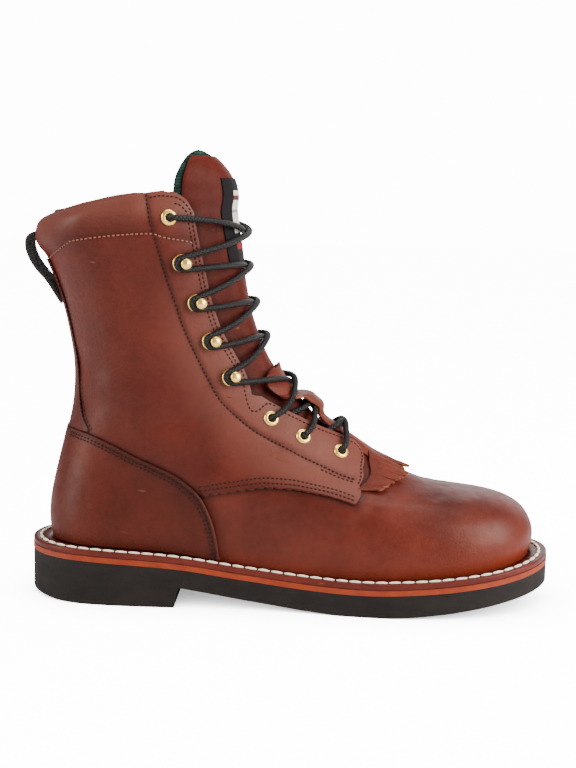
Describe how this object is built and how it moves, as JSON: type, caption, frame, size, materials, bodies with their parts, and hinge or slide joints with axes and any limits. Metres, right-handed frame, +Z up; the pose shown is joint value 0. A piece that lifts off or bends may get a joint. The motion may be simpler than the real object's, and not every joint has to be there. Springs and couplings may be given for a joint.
{
  "type": "lace-up work boot",
  "caption": "Right-foot leather lace-up work boot with a high padded shaft, kiltie flap, hooks and eyelets, stitched welt, and a rubber sole with a low block heel.",
  "frame": {"origin": "middle of the heel's flat underside, on the floor", "axes": "+X from heel to toe, +Z up, -Y to the outer side of the foot"},
  "size_m": [0.3125, 0.1118, 0.2655],
  "materials": {
    "upper_leather": "smooth oiled reddish brown leather, slight gloss",
    "counter_leather": "smooth oiled dark red-brown leather, slight gloss",
    "kiltie_leather": "soft orange-tan leather, matt edges",
    "outsole_rubber": "moulded charcoal rubber, matt, faint scuffs",
    "midsole_crepe": "orange-tan rubber layer, sanded edge",
    "welt_leather": "dark red-brown welt strip, waxed edge",
    "insole_leather": "tan insole board and sock",
    "webbing": "dark brown woven webbing",
    "lace_braid": "dark brown round braided lace",
    "label_cloth": "plain woven cloth label",
    "brass": "polished pale gold metal"
  },
  "bodies": {
    "root": {"upper": "upper_leather", "backstay": "upper_leather", "tongue": "upper_leather", "counter": "counter_leather", "kiltie": "kiltie_leather", "outsole": "outsole_rubber", "midsole": "midsole_crepe", "welt": "welt_leather", "insole": "insole_leather", "pull_loop": "webbing", "tongue_label": "label_cloth", "eyelet_outer_1": "brass", "hook_outer_1": "brass", "eyelet_outer_2": "brass", "hook_outer_2": "brass", "eyelet_outer_3": "brass", "hook_outer_3": "brass", "eyelet_outer_4": "brass", "hook_outer_4": "brass", "eyelet_inner_1": "brass", "hook_inner_1": "brass", "eyelet_inner_2": "brass", "hook_inner_2": "brass", "eyelet_inner_3": "brass", "hook_inner_3": "brass", "eyelet_inner_4": "brass", "hook_inner_4": "brass", "lace_crossing_1": "lace_braid", "lace_crossing_2": "lace_braid", "lace_crossing_3": "lace_braid", "lace_crossing_4": "lace_braid", "lace_crossing_5": "lace_braid", "lace_crossing_6": "lace_braid", "lace_crossing_7": "lace_braid"}
  },
  "joints": []
}
